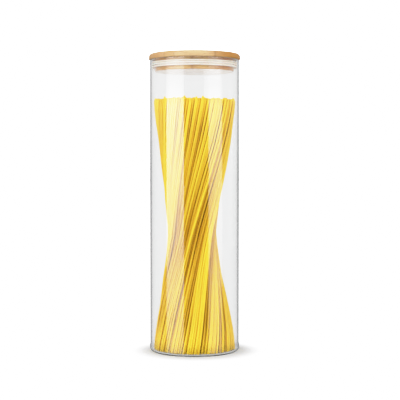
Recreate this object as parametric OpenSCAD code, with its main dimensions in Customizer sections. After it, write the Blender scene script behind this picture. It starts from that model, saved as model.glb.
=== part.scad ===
/* [Glass body] */
// Outside diameter of the glass
glass_d = 88; // [70:1:120]
// Height of the glass from its foot to its rim
glass_h = 286; // [120:1:320]
// Thickness of the glass wall
wall_t = 1.8; // [1.6:0.1:3]
// Thickness of the glass floor above its foot ring
floor_t = 1.8; // [1.6:0.1:6]
// Outside radius of the heel, where the wall turns into the floor
heel_r = 4; // [3.8:0.1:8]
// Radius that flame polishing leaves on both edges of the rim
rim_r = 0.7; // [0.3:0.05:0.75]
// Width of the flat ring the canister stands on
foot_w = 6; // [3:0.5:10]
// How far the middle of the floor is pushed up from the foot ring
push_up = 0.4; // [0.3:0.1:1]

/* [Bamboo lid] */
// How far the cap overhangs the glass all round
cap_overhang = 1; // [0:0.1:5]
// Thickness of the cap
cap_t = 6; // [6:0.1:12]
// Radius of the cap's upper edge
cap_top_r = 3; // [0.5:0.1:3]
// Radius of the cap's lower edge
cap_low_r = 1; // [0.3:0.1:2.5]
// Gap all round between the plug and the bore of the glass
plug_gap = 3.5; // [2:0.1:5]
// Height of the plug's neck, between the cap and the seal groove
neck_h = 2.5; // [1:0.1:6]
// Height of the seal groove
groove_h = 5.5; // [5:0.1:10]
// Depth of the seal groove into the plug
groove_deep = 2.8; // [1.5:0.1:5]
// Height of the flange that keeps the seal on
flange_h = 3.5; // [2:0.1:8]
// Radius of the flange's lower edge
flange_r = 0.8; // [0.2:0.1:1]

/* [Silicone seal] */
// How far the ring's body stands out of its groove
ring_proud = 1.2; // [0.4:0.1:1.6]
// Thickness of each lip
lip_t = 0.9; // [0.6:0.1:1.2]
// Number of lips round the ring
lips = 3; // [1:1:3]

/* [Fits] */
// Clearance between the lips' edges and the bore of the glass
lip_clear = 0.1; // [0.05:0.01:0.1]
// Clearance between the ring and the floor of its groove, in which the lid turns
turn_clear = 0.06; // [0.03:0.01:0.1]
// Clearance between the ring and each side of its groove
side_clear = 0.1; // [0.05:0.05:0.2]

/* [Hidden] */
$fn = 128;

glass_r = glass_d / 2;
bore_r = glass_r - wall_t;
heel_in_r = heel_r - wall_t;
foot_in_r = glass_r - heel_r - foot_w;
foot_edge_r = push_up / 2;

cap_r = glass_r + cap_overhang;
plug_r = bore_r - plug_gap;
groove_r = plug_r - groove_deep;
groove_top_z = glass_h - neck_h;
groove_low_z = groove_top_z - groove_h;
plug_low_z = groove_low_z - flange_h;

ring_in_r = groove_r + turn_clear;
ring_out_r = plug_r + ring_proud;
ring_low_z = groove_low_z + side_clear;
ring_h = groove_h - 2 * side_clear;
ring_edge_r = 0.4;
lip_tip_r = bore_r - lip_clear;
lip_step = (ring_h - lip_t) / max(lips - 1, 1);
lip_low_z = lips > 1 ? ring_low_z : ring_low_z + (ring_h - lip_t) / 2;

// Half section of a disc from z0 to z1, with its lower and upper edges rounded
module disc_section(r, z0, z1, low_r, top_r) {
    translate([0, z0 + low_r]) square([r, z1 - z0 - low_r - top_r]);
    translate([0, z0]) square([r - low_r, z1 - z0 - top_r]);
    translate([0, z0 + low_r]) square([r - top_r, z1 - z0 - low_r]);
    if (low_r > 0) translate([r - low_r, z0 + low_r]) circle(low_r);
    if (top_r > 0) translate([r - top_r, z1 - top_r]) circle(top_r);
}

// Half section of a ring between two radii, with every edge rounded
module ring_section(r0, r1, z0, h, edge_r) {
    translate([r0 + edge_r, z0]) square([r1 - r0 - 2 * edge_r, h]);
    translate([r0, z0 + edge_r]) square([r1 - r0, h - 2 * edge_r]);
    for (r = [r0 + edge_r, r1 - edge_r], z = [z0 + edge_r, z0 + h - edge_r])
        translate([r, z]) circle(edge_r);
}

// Straight-sided tube closed at the foot, with a rounded heel and a polished rim
module glass_body() {
    color([0.88, 0.91, 0.91, 0.35]) rotate_extrude() {
        difference() {
            disc_section(glass_r, 0, glass_h - rim_r, heel_r, 0);
            disc_section(bore_r, floor_t, glass_h, heel_in_r, 0);
            translate([0, -1]) square([foot_in_r - foot_edge_r, 1 + push_up]);
            translate([foot_in_r - foot_edge_r, push_up - foot_edge_r]) circle(foot_edge_r);
            translate([0, -1]) square([foot_in_r, 1 + push_up - foot_edge_r]);
        }
        ring_section(bore_r, glass_r, glass_h - 3 * rim_r, 3 * rim_r, rim_r);
    }
}

// Soft ring held in the plug's groove, with lips that press on the glass
module seal_ring() {
    color([0.93, 0.90, 0.87]) rotate_extrude() {
        ring_section(ring_in_r, ring_out_r, ring_low_z, ring_h, ring_edge_r);
        for (i = [0 : lips - 1]) translate([0, lip_low_z + i * lip_step]) {
            translate([ring_out_r - ring_edge_r - lip_t / 2, 0])
                square([lip_tip_r - ring_out_r + ring_edge_r, lip_t]);
            translate([lip_tip_r - lip_t / 2, lip_t / 2]) circle(lip_t / 2);
        }
    }
}

// Lower ply of the lid: a plug with a groove for the seal and a flange below it
module lid_plug() {
    color([0.86, 0.70, 0.50]) rotate_extrude() difference() {
        disc_section(plug_r, plug_low_z, glass_h, flange_r, 0);
        translate([groove_r, groove_low_z]) square([groove_deep + 1, groove_h]);
    }
}

// Upper ply of the lid: a disc with rounded edges that rests on the rim
module lid_cap() {
    color([0.89, 0.73, 0.48]) rotate_extrude()
        disc_section(cap_r, glass_h, glass_h + cap_t, cap_low_r, cap_top_r);
}

glass_body();
seal_ring();
lid_plug();
lid_cap();
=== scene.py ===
"""Looks for a lidded glass canister: clear glass, a milky silicone seal and a laminated bamboo lid."""

import math
import random

import bmesh
import bpy
from bpy.props import BoolProperty, FloatProperty, FloatVectorProperty, IntProperty, PointerProperty
from mathutils import Matrix, Vector, noise


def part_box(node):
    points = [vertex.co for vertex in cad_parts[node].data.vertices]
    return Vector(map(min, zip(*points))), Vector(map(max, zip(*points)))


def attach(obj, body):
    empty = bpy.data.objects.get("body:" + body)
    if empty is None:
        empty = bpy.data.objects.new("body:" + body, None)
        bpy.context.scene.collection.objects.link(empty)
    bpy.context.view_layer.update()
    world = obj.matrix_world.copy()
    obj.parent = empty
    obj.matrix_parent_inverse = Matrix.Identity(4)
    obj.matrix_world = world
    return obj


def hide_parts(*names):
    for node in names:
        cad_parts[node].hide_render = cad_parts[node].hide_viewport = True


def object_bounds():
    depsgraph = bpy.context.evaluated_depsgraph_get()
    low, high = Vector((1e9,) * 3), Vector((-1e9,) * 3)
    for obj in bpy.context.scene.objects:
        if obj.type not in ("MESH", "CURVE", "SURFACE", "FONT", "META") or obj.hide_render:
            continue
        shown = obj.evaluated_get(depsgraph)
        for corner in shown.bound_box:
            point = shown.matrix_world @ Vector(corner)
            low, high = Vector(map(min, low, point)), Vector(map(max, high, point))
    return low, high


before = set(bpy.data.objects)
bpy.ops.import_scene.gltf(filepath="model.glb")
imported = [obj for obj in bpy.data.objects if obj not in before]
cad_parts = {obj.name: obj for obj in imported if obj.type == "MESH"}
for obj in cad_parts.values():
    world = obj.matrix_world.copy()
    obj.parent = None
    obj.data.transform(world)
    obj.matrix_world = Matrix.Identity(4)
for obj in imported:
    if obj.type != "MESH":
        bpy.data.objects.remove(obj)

CAD_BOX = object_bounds()
GLASS_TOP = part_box("glass_body")[1]

bl_info = {
    "name": "Glass Canister",
    "version": (1, 0, 0),
    "blender": (4, 5, 0),
    "location": "View3D > Sidebar > Canister",
    "description": "Finishes the pieces of a lidded glass canister and sets up a studio for it",
    "category": "Object",
}


# Settings that a user would change

class GlassSettings(bpy.types.PropertyGroup):
    """Sizes and finish of the glass body."""

    wall: FloatProperty(
        name="Wall", description="Thickness of the glass wall", default=0.0018, min=0.001, unit="LENGTH")
    floor: FloatProperty(
        name="Floor", description="Height of the inside floor above the foot", default=0.0018, min=0.001,
        unit="LENGTH")
    heel: FloatProperty(
        name="Heel", description="Outside radius where the wall turns into the floor", default=0.004,
        min=0.003, unit="LENGTH")
    rim: FloatProperty(
        name="Rim", description="Radius of both polished edges of the rim", default=0.0007, min=0.0002,
        unit="LENGTH")
    foot: FloatProperty(
        name="Foot ring", description="Width of the flat ring the canister stands on", default=0.006,
        min=0.001, unit="LENGTH")
    push_up: FloatProperty(
        name="Push-up", description="How far the middle of the floor is raised", default=0.0004,
        min=0.0, unit="LENGTH")
    tint: FloatVectorProperty(
        name="Tint", description="Colour that the glass passes", subtype="COLOR",
        default=(0.952, 0.957, 0.956), min=0.0, max=1.0)
    ior: FloatProperty(
        name="IOR", description="How strongly the glass bends light", default=1.47, min=1.0, max=2.0)


class LidSettings(bpy.types.PropertyGroup):
    """Finish of the bamboo lid and its silicone seal."""

    strip: FloatProperty(
        name="Strip", description="Width of one bamboo strip in the board", default=0.0062, min=0.002,
        unit="LENGTH")
    pale: FloatVectorProperty(
        name="Pale fibre", description="Colour of the palest bamboo", subtype="COLOR",
        default=(0.51, 0.355, 0.2), min=0.0, max=1.0)
    warm: FloatVectorProperty(
        name="Warm fibre", description="Colour of the warmest bamboo", subtype="COLOR",
        default=(0.46, 0.305, 0.125), min=0.0, max=1.0)
    # Used in full on ends that face right and at about half on those that face left, so it also paints shade
    # on the right.
    end: FloatVectorProperty(
        name="End grain", description="Colour of the bamboo where its fibres are cut across",
        subtype="COLOR", default=(0.38, 0.17, 0.025), min=0.0, max=1.0)
    vein: FloatVectorProperty(
        name="Vein", description="Colour of the vessels and the glue lines", subtype="COLOR",
        default=(0.20, 0.092, 0.026), min=0.0, max=1.0)
    silicone: FloatVectorProperty(
        name="Silicone", description="Colour of the milky seal", subtype="COLOR",
        default=(0.90, 0.83, 0.75), min=0.0, max=1.0)


class ContentsSettings(bpy.types.PropertyGroup):
    """Dry spaghetti that dresses the scene. It isn't part of the canister."""

    show: BoolProperty(
        name="Show spaghetti", description="Stand a bundle of dry spaghetti in the canister", default=True)
    strand: FloatProperty(
        name="Strand", description="Diameter of one strand", default=0.0019, min=0.001, unit="LENGTH")
    height: FloatProperty(
        name="Height", description="Height the strands reach above the inside floor", default=0.244,
        min=0.05, unit="LENGTH")
    lean: FloatProperty(
        name="Lean", description="How far a strand at the waist leans from upright",
        default=math.radians(15.5), subtype="ANGLE")
    waist: FloatProperty(
        name="Waist", description="Radius of the bundle where it is tightest", default=0.0248,
        min=0.005, unit="LENGTH")
    waist_height: FloatProperty(
        name="Waist height", description="Height of the tightest place above the floor", default=0.112,
        min=0.0, unit="LENGTH")
    bow: FloatProperty(
        name="Bow", description="How far the bundle leans to the left at its waist", default=0.0018,
        unit="LENGTH")
    groove: FloatProperty(
        name="Groove", description="Depth of the valleys between clumps of strands at the waist",
        default=0.0036, min=0.0, unit="LENGTH")
    uneven: FloatProperty(
        name="Uneven", description="How far a strand may lie below its neighbours", default=0.0016,
        min=0.0, unit="LENGTH")
    # Painted shade: strands that lie deep in the bundle, and the pressed strands of the waist, are darkened by
    # mixing the hollows' colour into their own.
    painted_shade_depth: FloatProperty(
        name="Hollow depth", description="Depth at which a strand takes the colour of the hollows",
        default=0.0027, min=0.0005, unit="LENGTH")
    pressed: FloatProperty(
        name="Pressed", description="How much of the hollows' colour the pressed strands of the waist take",
        default=0.08, min=0.0, max=1.0)
    painted_shade_end_fade: FloatProperty(
        name="Clean end", description="Length at each end of the bundle over which its hollows fade",
        default=0.03, min=0.001, unit="LENGTH")
    foot_radius: FloatProperty(
        name="Foot radius", description="Radius of the bundle where it stands", default=0.0408,
        min=0.005, unit="LENGTH")
    head_radius: FloatProperty(
        name="Head radius", description="Radius of the bundle at its top", default=0.0407,
        min=0.005, unit="LENGTH")
    colour: FloatVectorProperty(
        name="Semolina", description="Colour of the dry pasta", subtype="COLOR",
        default=(0.98, 0.70, 0.042), min=0.0, max=1.0)
    # Painted shade: the darker colour that deep and pressed strands are mixed towards.
    painted_shade_colour: FloatVectorProperty(
        name="Hollows", description="Colour of the strands that lie deep between the others",
        subtype="COLOR", default=(0.48, 0.235, 0.002), min=0.0, max=1.0)
    seed: IntProperty(name="Seed", description="Changes how the strands fall", default=7)


class StudioSettings(bpy.types.PropertyGroup):
    """Camera, floor and lights."""

    distance: FloatProperty(
        name="Distance", description="From the camera to the canister's axis", default=1.10, min=0.3,
        unit="LENGTH")
    eye: FloatProperty(
        name="Eye height", description="Height of the camera above the floor", default=0.184,
        unit="LENGTH")
    aside: FloatProperty(
        name="Aside", description="How far the camera stands to the right of the axis", default=0.0054,
        unit="LENGTH")
    lens: FloatProperty(
        name="Lens", description="Focal length on a 36 mm sensor", default=100.4, min=10.0,
        subtype="DISTANCE_CAMERA")
    tilt: FloatProperty(
        name="Tilt", description="How far the camera looks down", default=math.radians(1.84),
        subtype="ANGLE")
    key: FloatProperty(
        name="Key light", description="Brightness of the left softbox", default=2.85, min=0.0)
    fill: FloatProperty(
        name="Fill light", description="Brightness of the right softbox", default=2.7, min=0.0)
    sheen: FloatProperty(
        name="Sheen", description="How many times brighter the softboxes are mirrored than they light",
        default=2.25, min=0.0)
    top: FloatProperty(
        name="Top light", description="Brightness of the overhead softbox", default=2.6, min=0.0)
    room: FloatProperty(
        name="Room light", description="Brightness of the room as it lights the set", default=0.7, min=0.0)
    gleam: FloatProperty(
        name="Room reflected", description="Brightness of the room as it is mirrored", default=0.11, min=0.0)
    sky: FloatProperty(
        name="Room above, reflected", description="Brightness of the upper part of the room as it is mirrored",
        default=0.4, min=0.0)
    edge: FloatProperty(
        name="Room at glass edges", description="Brightness of the room as it shows in the glass's edges",
        default=0.6, min=0.0)
    beyond: FloatProperty(
        name="Room through glass", description="Brightness of the room as it is seen through the glass",
        default=1.13, min=0.0)
    white: FloatProperty(
        name="White", description="Brightness of the room as it is seen directly", default=4.5, min=1.0)
    shoulder: FloatProperty(
        name="Shoulder", description="Brightness above which the picture's tones begin to run together",
        default=0.66, min=0.1, max=0.9)


# Shader maths

class Value:
    """A shader socket that can stand in a Python sum."""

    def __init__(self, finish, socket):
        self.finish = finish
        self.socket = socket

    def maths(self, operation, *values):
        return self.finish.node("ShaderNodeMath", {"operation": operation}, dict(enumerate(values)))

    def __add__(self, other):
        return self.maths("ADD", self, other)

    __radd__ = __add__

    def __sub__(self, other):
        return self.maths("SUBTRACT", self, other)

    def __rsub__(self, other):
        return self.maths("SUBTRACT", other, self)

    def __mul__(self, other):
        return self.maths("MULTIPLY", self, other)

    __rmul__ = __mul__

    def __truediv__(self, other):
        return self.maths("DIVIDE", self, other)

    def __pow__(self, other):
        return self.maths("POWER", self, other)


class Finish:
    """One node tree, built by calls that give back sockets."""

    def __init__(self, tree):
        self.tree = tree
        self.tree.nodes.clear()

    def node(self, kind, settings=None, sockets=None, out=0):
        made = self.tree.nodes.new(kind)
        for name, value in (settings or {}).items():
            if name == "stops":
                self.set_stops(made.color_ramp, value)
            else:
                setattr(made, name, value)
        for key, value in (sockets or {}).items():
            self.feed(made.inputs[key], value)
        return Value(self, made.outputs[out]) if made.outputs else made

    def feed(self, socket, value):
        if isinstance(value, Value):
            self.tree.links.new(value.socket, socket)
        else:
            socket.default_value = value

    @staticmethod
    def set_stops(ramp, stops):
        while len(ramp.elements) < len(stops):
            ramp.elements.new(1.0)
        for element, (place, grey) in zip(ramp.elements, stops):
            element.position = place
            element.color = (grey, grey, grey, 1.0)

    def place(self):
        """Where a point lies on its piece, in metres."""
        return self.node("ShaderNodeTexCoord", out="Object")

    def parts(self, vector):
        """The three numbers of a vector."""
        split = self.tree.nodes.new("ShaderNodeSeparateXYZ")
        self.feed(split.inputs[0], vector)
        return [Value(self, socket) for socket in split.outputs]

    def vector(self, x, y, z):
        return self.node("ShaderNodeCombineXYZ", None, {0: x, 1: y, 2: z})

    def scaled(self, vector, scale):
        """A vector with each of its numbers multiplied by one of scale."""
        return self.node("ShaderNodeVectorMath", {"operation": "MULTIPLY"}, {0: vector, 1: scale})

    def noise(self, vector, scale, detail=3.0, rough=0.5):
        return self.node("ShaderNodeTexNoise", None, {
            "Vector": vector, "Scale": scale, "Detail": detail, "Roughness": rough})

    def ramp(self, value, *stops):
        """Grey that follows value through stops, each a place and a grey."""
        return self.node("ShaderNodeValToRGB", {"stops": stops}, {0: value})

    def mix(self, factor, first, second, blend="MIX"):
        """A colour between first and second."""
        return self.node("ShaderNodeMix", {"data_type": "RGBA", "blend_type": blend},
                         {0: factor, 6: first, 7: second}, out=2)

    def bump(self, height, strength, distance):
        return self.node("ShaderNodeBump", None, {
            "Height": height, "Strength": strength, "Distance": distance})

    def surface(self, **sockets):
        """A Principled shader, with spaces in its sockets' names written as underscores."""
        return self.node("ShaderNodeBsdfPrincipled", None,
                         {name.replace("_", " "): value for name, value in sockets.items()})

    def show(self, shader):
        self.node("ShaderNodeOutputMaterial", None, {"Surface": shader})


def new_finish(name):
    """A material and the builder of its nodes."""
    material = bpy.data.materials.new(name)
    material.use_nodes = True
    return material, Finish(material.node_tree)


def solid(colour):
    return (*colour, 1.0)


# Finishes

def clear_glass(settings):
    """Drawn glass: faint upright waves, hardly any haze, and lamps reach what stands inside it."""
    material, f = new_finish("clear_glass")
    place = f.place()
    waves = f.noise(f.scaled(place, (30.0, 30.0, 3.0)), 1.0, 2.0)
    haze = f.ramp(f.noise(place, 55.0, 4.0, 0.6), (0.45, 0.0), (0.85, 0.03))
    glass = f.surface(
        Base_Color=solid(settings.tint), Roughness=haze, IOR=settings.ior, Transmission_Weight=1.0,
        Normal=f.bump(waves, 0.12, 0.0005))
    path = "ShaderNodeLightPath"
    soft_ray = f.node(path, out="Is Shadow Ray") + f.node(path, out="Is Diffuse Ray")
    through = f.node("ShaderNodeBsdfTransparent", None, {"Color": solid(settings.tint)})
    f.show(f.node("ShaderNodeMixShader", None, {0: soft_ray, 1: glass, 2: through}))
    return material


def bamboo(settings, name, along, shift, lacquer, warmth_and_painted_light=(1.0, 1.0, 1.0)):
    """Strips of bamboo glued side by side, with fibres that run along one axis and knuckles across them."""
    material, f = new_finish(name)
    x, y, z = f.parts(f.place())
    lengthways, across = (x, y) if along == "X" else (y, x)
    run = lengthways + shift
    strip = f.node("ShaderNodeMath", {"operation": "FLOOR"}, {0: (across + shift) / settings.strip})
    edge = f.node("ShaderNodeMath", {"operation": "FRACT"}, {0: (across + shift) / settings.strip})
    chance = f.node("ShaderNodeTexWhiteNoise", {"noise_dimensions": "1D"}, {"W": strip})
    seam = f.ramp(f.node("ShaderNodeMath", {"operation": "ABSOLUTE"}, {0: edge - 0.5}),
                  (0.455, 0.0), (0.495, 1.0))

    drift = strip * 0.37
    fibre = f.noise(f.vector(run * 14.0 + drift, across * 620.0, z * 620.0), 1.0, 3.0, 0.6)
    vessel_map = f.vector(run * 22.0 + drift, across * 1150.0, z * 1150.0)
    vessel = f.node("ShaderNodeTexVoronoi", None, {"Vector": vessel_map, "Scale": 1.0, "Randomness": 1.0})
    vessels = f.ramp(vessel, (0.12, 1.0), (0.34, 0.0))
    cloud = f.noise(f.vector(run * 9.0 + drift, across * 60.0, z * 60.0), 1.0, 2.0)

    knuckle_at = f.node("ShaderNodeMath", {"operation": "FRACT"}, {0: run * 5.6 + chance})
    knuckle = f.ramp(knuckle_at, (0.0, 0.0), (0.485, 0.0), (0.498, 1.0), (0.506, 0.35), (0.53, 0.0))

    tone = f.ramp(chance * 0.55 + fibre * 0.45 + cloud * 0.35, (0.35, 0.0), (0.95, 1.0))
    wood = f.mix(tone, solid(settings.pale), solid(settings.warm))
    facing = f.parts(f.node("ShaderNodeTexCoord", out="Normal"))[0 if along == "X" else 1]
    # End grain where the fibres are cut across, taken in full on ends that face right and at about half on
    # those that face left: that difference is painted shade on the right.
    end_grain_and_right_shade = f.ramp(facing * 0.5 + 0.5, (0.08, 0.55), (0.35, 0.0), (0.62, 0.0), (0.82, 1.0))
    wood = f.mix(end_grain_and_right_shade, wood, solid(settings.end))
    wood = f.mix(vessels * 0.55, wood, solid(settings.vein))
    wood = f.mix(knuckle * 0.6, wood, solid(settings.vein))
    wood = f.mix(seam * 0.5, wood, solid(settings.vein))

    # Partly painted light: a factor with red above one warms the bamboo a little and brightens the plug's neck
    # and flange, which lie in the shade of the cap.
    wood = f.mix(1.0, wood, solid(warmth_and_painted_light), "MULTIPLY")

    height = fibre * 0.4 - vessels * 0.5 - seam * 0.9 - knuckle * 0.4
    f.show(f.surface(
        Base_Color=wood, Roughness=f.ramp(fibre + vessels * 0.2, (0.2, 0.36), (0.9, 0.56)),
        Coat_Weight=lacquer, Coat_Roughness=0.1, Normal=f.bump(height, 0.35, 0.00025)))
    return material


def milky_silicone(settings):
    """Matt silicone that glows a little, with faint dust and mould texture."""
    material, f = new_finish("milky_silicone")
    place = f.place()
    cloud = f.noise(place, 70.0, 3.0)
    grain = f.noise(place, 2200.0, 2.0)
    deep = tuple(channel * 0.86 for channel in settings.silicone)
    f.show(f.surface(
        Base_Color=f.mix(cloud, solid(settings.silicone), solid(deep)),
        Roughness=f.ramp(grain, (0.3, 0.38), (0.8, 0.52)), Subsurface_Weight=0.6,
        Subsurface_Radius=(0.0022, 0.0016, 0.0012), Normal=f.bump(grain, 0.08, 0.0002)))
    return material


def dry_pasta(settings):
    """Semolina pasta: each strand its own yellow, slightly floury and glossy where it was drawn, with painted
    shade on the strands that lie deep in the bundle or pressed at its waist.
    """
    material, f = new_finish("dry_pasta")
    own = f.node("ShaderNodeNewGeometry", out="Random Per Island")
    speckle = f.noise(f.place(), 900.0, 3.0, 0.6)
    warm = tuple(channel * share for channel, share in zip(settings.colour, (0.92, 0.78, 0.6)))
    body = f.mix(own * 0.7 + speckle * 0.3, solid(settings.colour), solid(warm))
    # Painted shade: deep and pressed strands take the darker hollows' colour.
    depth = f.node("ShaderNodeAttribute", {"attribute_name": "depth"}, out="Fac")
    body = f.mix(f.ramp(depth, (0.1, 0.0), (1.0, 1.0)), body, solid(settings.painted_shade_colour))
    f.show(f.surface(
        Base_Color=body, Roughness=f.ramp(speckle, (0.3, 0.4), (0.8, 0.56)), Specular_IOR_Level=0.12,
        Normal=f.bump(speckle, 0.1, 0.0001)))
    return material


def mirrored_before(f):
    """1 for a ray that has been mirrored at least once on its way."""
    depth = f.node("ShaderNodeLightPath", out="Glossy Depth")
    return f.node("ShaderNodeMath", {"operation": "GREATER_THAN"}, {0: depth, 1: 0.5})


def bent_by_wall(f):
    """1 for a ray that the wall of a glass has turned aside between going in and coming out again."""
    depth = f.node("ShaderNodeLightPath", out="Transmission Depth")
    one_wall = f.node("ShaderNodeMath", {"operation": "LESS_THAN"}, {0: depth, 1: 2.5})
    return f.node("ShaderNodeLightPath", out="Is Transmission Ray") * one_wall * mirrored_before(f)


def studio_floor(s):
    """Grey paper close to the canister, which takes real shadows and is also a painted shadow, and plain white
    light further out.
    """
    material, f = new_finish("studio_floor")
    path = "ShaderNodeLightPath"
    # Painted shadow: a patch of grey paper round the foot, centred 2 mm to the right of the axis, so the floor
    # is darker on the right, away from the key light; by about 7 cm out it fades into white light.
    from_painted_shadow = f.node("ShaderNodeVectorMath", {"operation": "SUBTRACT"}, {0: f.place(), 1: (0.002, 0.0, 0.0)})
    away = f.node("ShaderNodeVectorMath", {"operation": "LENGTH"}, {0: from_painted_shadow}, out="Value")
    fade = f.ramp(away * 10.0, (0.46, 0.0), (0.53, 0.06), (0.6, 0.2), (0.72, 1.0))
    grain = f.noise(f.place(), 900.0, 2.0)
    # The paper's grey is painted shadow, and its faint blue cancels the warm light that the pasta throws on
    # the floor.
    paper = f.surface(
        Base_Color=(0.62, 0.64, 0.68, 1.0), Roughness=0.85, Normal=f.bump(grain, 0.05, 0.0002))
    light = f.node("ShaderNodeEmission", None, {"Strength": 1.0})
    for out, strength in (("Is Transmission Ray", s.beyond), ("Is Camera Ray", s.white)):
        seen = f.node("ShaderNodeEmission", None, {"Strength": strength})
        light = f.node("ShaderNodeMixShader", None, {0: f.node(path, out=out), 1: light, 2: seen})
    clear = f.node("ShaderNodeBsdfTransparent")
    sheet = f.node("ShaderNodeMixShader", None, {0: fade, 1: paper, 2: light})
    f.show(f.node("ShaderNodeMixShader", None, {0: bent_by_wall(f), 1: sheet, 2: clear}))
    return material


# Shapes

def arc(centre, radius, start, end, steps=8):
    """Points of an arc in the half section, from start to end in degrees."""
    for i in range(steps + 1):
        angle = math.radians(start + (end - start) * i / steps)
        yield centre[0] + radius * math.cos(angle), centre[1] + radius * math.sin(angle)


def glass_outline(s, radius, height):
    """Half section of the glass: up the outside, over the rim, down the bore and across the floor."""
    bore = radius - s.wall
    bend = s.heel - s.wall
    ring = radius - s.heel - s.foot
    lip = s.push_up / 2
    guard = 0.0004
    points = [(0.0, s.push_up), (ring - 3 * lip, s.push_up), (ring - lip - guard, s.push_up)]
    points += arc((ring - lip, lip), lip, 90, 0, 4)
    points += [(ring, 0.0), (ring + guard, 0.0), (radius - s.heel - guard, 0.0)]
    points += arc((radius - s.heel, s.heel), s.heel, -90, 0, 10)
    points += [(radius, s.heel + guard), (radius, height / 2), (radius, height - s.rim - guard)]
    points += arc((radius - s.rim, height - s.rim), s.rim, 0, 90, 8)
    points += arc((bore + s.rim, height - s.rim), s.rim, 90, 180, 8)
    points += [(bore, height - s.rim - guard), (bore, height / 2), (bore, s.floor + bend + guard)]
    points += arc((bore - bend, s.floor + bend), bend, 0, -90, 8)
    points += [(bore - bend - guard, s.floor), (bore * 0.7, s.floor), (0.0, s.floor)]
    return points


def lathe(name, outline, steps):
    """A closed solid of revolution about +Z from a half section whose ends lie on the axis."""
    bm = bmesh.new()
    first = bm.verts.new((0.0, 0.0, outline[0][1]))
    last = bm.verts.new((0.0, 0.0, outline[-1][1]))
    rings = []
    for radius, height in outline[1:-1]:
        turn = [2 * math.pi * i / steps for i in range(steps)]
        rings.append([bm.verts.new((radius * math.cos(a), radius * math.sin(a), height)) for a in turn])
    for i in range(steps):
        j = (i + 1) % steps
        bm.faces.new((first, rings[0][j], rings[0][i]))
        bm.faces.new((last, rings[-1][i], rings[-1][j]))
        for low, high in zip(rings, rings[1:]):
            bm.faces.new((low[i], low[j], high[j], high[i]))
    return add_mesh(name, bm)


def add_mesh(name, bm, smooth=True):
    """An object in the scene from a bmesh, with its faces turned outwards."""
    bmesh.ops.remove_doubles(bm, verts=bm.verts, dist=1e-7)
    bmesh.ops.recalc_face_normals(bm, faces=bm.faces)
    mesh = bpy.data.meshes.new(name)
    bm.to_mesh(mesh)
    bm.free()
    for face in mesh.polygons:
        face.use_smooth = smooth
    piece = bpy.data.objects.new(name, mesh)
    bpy.context.scene.collection.objects.link(piece)
    return piece


def finish_piece(piece, material):
    piece.data.materials.clear()
    piece.data.materials.append(material)


def bundle_radius(s, height):
    """Radius of the bundle at a height: tight at its waist, and held in by the glass at both ends."""
    low = height < s.waist_height
    span = s.waist_height if low else s.height - s.waist_height
    flare = (s.foot_radius if low else s.head_radius) - s.waist
    away = min(abs(height - s.waist_height) / span, 1.0)
    return s.waist + flare * (1.0 - (1.0 - away) ** 1.4) ** 1.6


def bundle_rings(s, steps=24):
    """Height, radius and turn of the bundle at even steps from its foot to its top."""
    heights = [s.height * i / steps for i in range(steps + 1)]
    radii = [bundle_radius(s, height) for height in heights]
    turns = [0.0]
    for near, far in zip(radii, radii[1:]):
        middle = (near + far) / 2
        turns.append(turns[-1] + s.height / steps * s.waist * math.tan(s.lean) / middle ** 2)
    return list(zip(heights, radii, turns))


def strand_seats(s, chance):
    """Places of the strands across the waist, as shares of its radius."""
    pitch = s.strand * 0.76 / s.waist
    rows = int(1.0 / pitch) + 2
    seats = []
    for row in range(-rows, rows + 1):
        for column in range(-rows, rows + 1):
            x = (column + 0.5 * (row % 2) + chance.gauss(0, 0.09)) * pitch
            y = (row * math.sqrt(0.75) + chance.gauss(0, 0.09)) * pitch
            if math.hypot(x, y) < 1.0 - 0.5 * pitch:
                seats.append(Vector((x, y, 0.0)))
    return seats


def add_strand(bm, s, seat, rings, chance, floor, sides=7):
    """One strand: a thin tube through its seat in the twisted bundle, clumped with its neighbours."""
    ragged = chance.gauss(0, 0.0012)
    stray = Vector((chance.gauss(0, 1), chance.gauss(0, 1), 0.0)) * 0.0005
    foot_clump = clump_shift(seat, s.seed)
    head_clump = clump_shift(seat, s.seed + 31)
    valley = valley_share(seat, s.seed)
    sunk = s.uneven * chance.random() ** 2
    painted_shade_layer = bm.verts.layers.float["depth"]
    bands = []
    for height, radius, turn in rings:
        away = (height - s.waist_height) / (s.height - s.waist_height)
        share = height / s.height
        clump = foot_clump * (1.0 - share) + head_clump * share
        tight = s.waist / radius
        spread = 1.6 * tight ** 3
        spot = Matrix.Rotation(turn, 3, "Z") @ (seat * radius + clump * spread + stray * away)
        reach = math.hypot(spot.x, spot.y)
        limit = radius + 0.0002 - s.strand / 2
        groove = sunk * tight + valley * s.groove * tight ** (3 if away > 0 else 4)
        if reach > limit - groove:
            spot *= (limit - groove) / reach
            reach = limit - groove
        # Painted shade: depth grows with how far the strand lies below the bundle's surface and with how tight
        # the waist is, and fades out near both ends; it sets how much of the hollows' colour the strand takes.
        painted_shade_fade = min(1.0, height / s.painted_shade_end_fade, (s.height - height) / s.painted_shade_end_fade)
        depth = ((limit - reach) / s.painted_shade_depth * tight + s.pressed * tight ** 3) * painted_shade_fade
        spot.x -= s.bow * max(0.0, 1.0 - away * away * 2.0)
        spot.z = floor + 0.0003 + height * (1.0 + ragged / s.height)
        bands.append([])
        for k in range(sides):
            angle = 2 * math.pi * k / sides
            vert = bm.verts.new(spot + Vector((math.cos(angle), math.sin(angle), 0.0)) * s.strand / 2)
            vert[painted_shade_layer] = depth
            bands[-1].append(vert)
    for low, high in zip(bands, bands[1:]):
        for k in range(sides):
            n = (k + 1) % sides
            bm.faces.new((low[k], low[n], high[n], high[k]))
    bm.faces.new(reversed(bands[0]))
    bm.faces.new(bands[-1])


def clump_shift(seat, seed):
    """How far a strand at a seat is drawn towards the clump it belongs to."""
    shift = noise.noise_vector(seat * 6.0 + Vector((0.0, 0.0, seed))) * 0.0042
    shift.z = 0.0
    return shift


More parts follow.
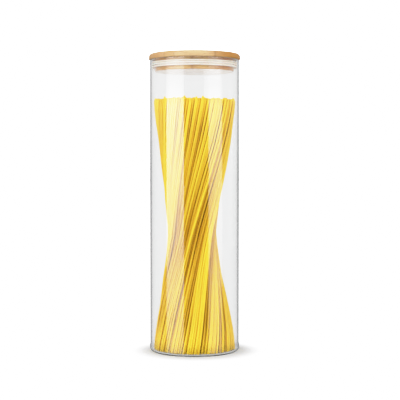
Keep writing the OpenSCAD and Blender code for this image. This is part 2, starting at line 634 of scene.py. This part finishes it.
def valley_share(seat, seed):
    """How far a strand at a seat lies down in a valley between two clumps, from 0 to 1."""
    place = seat.normalized() * 9.0 + Vector((0.0, 0.0, seed + 0.5))
    return min(max(noise.noise(place) * 2.2 + 0.25, 0.0), 1.0)


def softbox(name, azimuth, half_angle, brightness, sheen, dimmest, distance=1.2, low=-0.5, high=1.2):
    """An upright softbox that faces the canister, at an azimuth from the camera's side, dimmer lower down."""
    turn = math.radians(azimuth)
    width = 2 * distance * math.tan(math.radians(half_angle))
    spot = (distance * math.sin(turn), -distance * math.cos(turn), (low + high) / 2)
    lamp = add_lamp(name, spot, (math.radians(90), 0.0, turn), width, high - low, brightness)
    lamp.data.use_nodes = True
    f = Finish(lamp.data.node_tree)
    height = f.parts(f.node("ShaderNodeNewGeometry", out="Position"))[2]
    lit = f.ramp(height + 0.5, (0.3, dimmest), (0.78, 1.0))
    shine = f.ramp(height + 0.5, (0.3, 0.26), (0.8, 1.0), (0.85, 0.42), (0.9, 0.15)) * sheen
    light = f.node("ShaderNodeEmission", None, {"Strength": lit + mirrored_before(f) * (shine - lit)})
    f.node("ShaderNodeOutputLight", None, {"Surface": light})


def add_lamp(name, spot, turns, width, height, brightness):
    """A rectangular area light that the camera doesn't see."""
    data = bpy.data.lights.new(name, "AREA")
    data.shape = "RECTANGLE"
    data.size = width
    data.size_y = height
    data.energy = brightness * math.pi * width * height
    lamp = bpy.data.objects.new(name, data)
    lamp.location = spot
    lamp.rotation_euler = turns
    lamp.visible_camera = False
    bpy.context.scene.collection.objects.link(lamp)
    return lamp


def studio_world(s):
    """White to look at, dimmer as a light and in mirrors, and dark where the edges of glass bend it."""
    world = bpy.data.worlds.new("studio_world")
    world.use_nodes = True
    f = Finish(world.node_tree)
    path = "ShaderNodeLightPath"
    bent = bent_by_wall(f)
    seen = f.node(path, out="Is Camera Ray")
    beyond = f.node(path, out="Is Transmission Ray") - bent
    mirrored = f.node(path, out="Is Reflection Ray") * f.node(path, out="Is Glossy Ray")
    _, depth, height = f.parts(f.node("ShaderNodeTexCoord", out="Generated"))
    lit_side = f.ramp(depth + 1.0, (0.15, 0.03), (0.4, 1.0))
    far_side = f.ramp(depth + 1.0, (0.15, 0.4), (0.4, 1.0))
    upper = f.ramp(height + 0.5, (0.5, 0.0), (0.57, 1.0))
    glint = bent * far_side * s.edge + mirrored * (lit_side * s.gleam + upper * s.sky)
    rest = 1.0 - seen - beyond - bent - mirrored
    strength = seen * s.white + beyond * s.beyond + glint + rest * s.room
    light = f.node("ShaderNodeBackground", None, {"Color": (1.0, 1.0, 1.0, 1.0), "Strength": strength})
    f.node("ShaderNodeOutputWorld", None, {"Surface": light})
    bpy.context.scene.world = world


def soften_highlights(view, shoulder, brightest=4.0, steps=12):
    """Rolls bright tones off towards white as film does, so that a reflection keeps the colour under it."""
    view.view_transform = "Standard"
    view.use_curve_mapping = True
    mapping = view.curve_mapping
    mapping.white_level = (brightest, brightest, brightest)
    points = mapping.curves[3].points
    room = 1.0 - shoulder
    for i in range(steps):
        light = shoulder + (brightest - shoulder) * (i / steps) ** 2
        points.new(light / brightest, 1.0 - room * math.exp((shoulder - light) / room))
    points[0].handle_type = points[1].handle_type = "VECTOR"
    mapping.update()


# Operators, one for each piece or group of like pieces

class CANISTER_OT_glass(bpy.types.Operator):
    """Turn the glass body on a fine lathe and finish it as clear drawn glass"""

    bl_idname = "canister.glass"
    bl_label = "Glass Body"

    def execute(self, context):
        settings = context.scene.canister_glass
        if settings.heel <= settings.wall:
            raise ValueError("the heel's radius has to be larger than the wall")
        outline = glass_outline(settings, GLASS_TOP.x, GLASS_TOP.z)
        body = lathe("glass_wall", outline, 192)
        finish_piece(body, clear_glass(settings))
        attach(body, "canister")
        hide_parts("glass_body")
        return {"FINISHED"}


class CANISTER_OT_seal(bpy.types.Operator):
    """Finish the ring as milky silicone"""

    bl_idname = "canister.seal"
    bl_label = "Silicone Seal"

    def execute(self, context):
        finish_piece(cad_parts["seal_ring"], milky_silicone(context.scene.canister_lid))
        return {"FINISHED"}


class CANISTER_OT_lid(bpy.types.Operator):
    """Finish both plies of the lid as laminated bamboo, with their fibres crossed"""

    bl_idname = "canister.lid"
    bl_label = "Bamboo Lid"

    def execute(self, context):
        settings = context.scene.canister_lid
        finish_piece(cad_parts["lid_cap"], bamboo(settings, "bamboo_cap", "X", 0.27, 0.2))
        # The plug's factor warms its bamboo and paints a little light on it.
        finish_piece(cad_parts["lid_plug"], bamboo(settings, "bamboo_plug", "X", 0.43, 1.0, (1.2, 1.04, 0.66)))
        return {"FINISHED"}


class CANISTER_OT_contents(bpy.types.Operator):
    """Stand a twisted bundle of spaghetti in the canister, as dressing that isn't part of it"""

    bl_idname = "canister.contents"
    bl_label = "Spaghetti"

    def execute(self, context):
        settings = context.scene.canister_contents
        if not settings.show:
            return {"FINISHED"}
        chance = random.Random(settings.seed)
        floor = context.scene.canister_glass.floor
        rings = bundle_rings(settings)
        bm = bmesh.new()
        # The depth layer carries each strand's share of painted shade.
        bm.verts.layers.float.new("depth")
        for seat in strand_seats(settings, chance):
            add_strand(bm, settings, seat, rings, chance, floor)
        bundle = add_mesh("spaghetti", bm)
        finish_piece(bundle, dry_pasta(settings))
        return {"FINISHED"}


class CANISTER_OT_stage(bpy.types.Operator):
    """Set up the camera, a white floor, two softboxes and a white room"""

    bl_idname = "canister.stage"
    bl_label = "Studio"

    def execute(self, context):
        s = context.scene.canister_studio
        bm = bmesh.new()
        bmesh.ops.create_circle(bm, cap_ends=True, segments=96, radius=6.0)
        floor = add_mesh("studio_floor", bm, smooth=False)
        floor.location.z = CAD_BOX[0][2] - 0.0002
        finish_piece(floor, studio_floor(s))
        floor.visible_glossy = False
        softbox("key_softbox", -51.2, 24.5, s.key, s.sheen, 0.8)
        softbox("fill_softbox", 55.4, 19.4, s.fill, s.sheen * 0.58, 1.0)
        add_lamp("top_softbox", (0.0, -1.0, 1.15), (math.radians(48), 0.0, 0.0), 1.4, 0.9, s.top)
        studio_world(s)
        data = bpy.data.cameras.new("camera")
        data.lens = s.lens
        camera = bpy.data.objects.new("camera", data)
        camera.location = (s.aside, -s.distance, s.eye)
        camera.rotation_euler = (math.radians(90) - s.tilt, 0.0, 0.0)
        context.scene.collection.objects.link(camera)
        context.scene.camera = camera
        soften_highlights(context.scene.view_settings, s.shoulder)
        return {"FINISHED"}


class CANISTER_PT_sidebar(bpy.types.Panel):
    """Lists every step and its settings"""

    bl_idname = "CANISTER_PT_sidebar"
    bl_label = "Glass Canister"
    bl_space_type = "VIEW_3D"
    bl_region_type = "UI"
    bl_category = "Canister"

    def draw(self, context):
        for step, settings in STEPS:
            self.layout.operator(step.bl_idname)
            if settings:
                group = getattr(context.scene, settings)
                for name in group.bl_rna.properties.keys():
                    if name not in ("rna_type", "name"):
                        self.layout.prop(group, name)


GROUPS = {
    "canister_glass": GlassSettings,
    "canister_lid": LidSettings,
    "canister_contents": ContentsSettings,
    "canister_studio": StudioSettings,
}
STEPS = (
    (CANISTER_OT_stage, "canister_studio"),
    (CANISTER_OT_glass, "canister_glass"),
    (CANISTER_OT_seal, None),
    (CANISTER_OT_lid, "canister_lid"),
    (CANISTER_OT_contents, "canister_contents"),
)


def register():
    for name, group in GROUPS.items():
        bpy.utils.register_class(group)
        setattr(bpy.types.Scene, name, PointerProperty(type=group))
    for step, _ in STEPS:
        bpy.utils.register_class(step)
    bpy.utils.register_class(CANISTER_PT_sidebar)


def unregister():
    bpy.utils.unregister_class(CANISTER_PT_sidebar)
    for step, _ in reversed(STEPS):
        bpy.utils.unregister_class(step)
    for name, group in GROUPS.items():
        delattr(bpy.types.Scene, name)
        bpy.utils.unregister_class(group)


def main():
    register()
    for step, _ in STEPS:
        area, action = step.bl_idname.split(".")
        getattr(getattr(bpy.ops, area), action)()


if __name__ == "__main__":
    main()
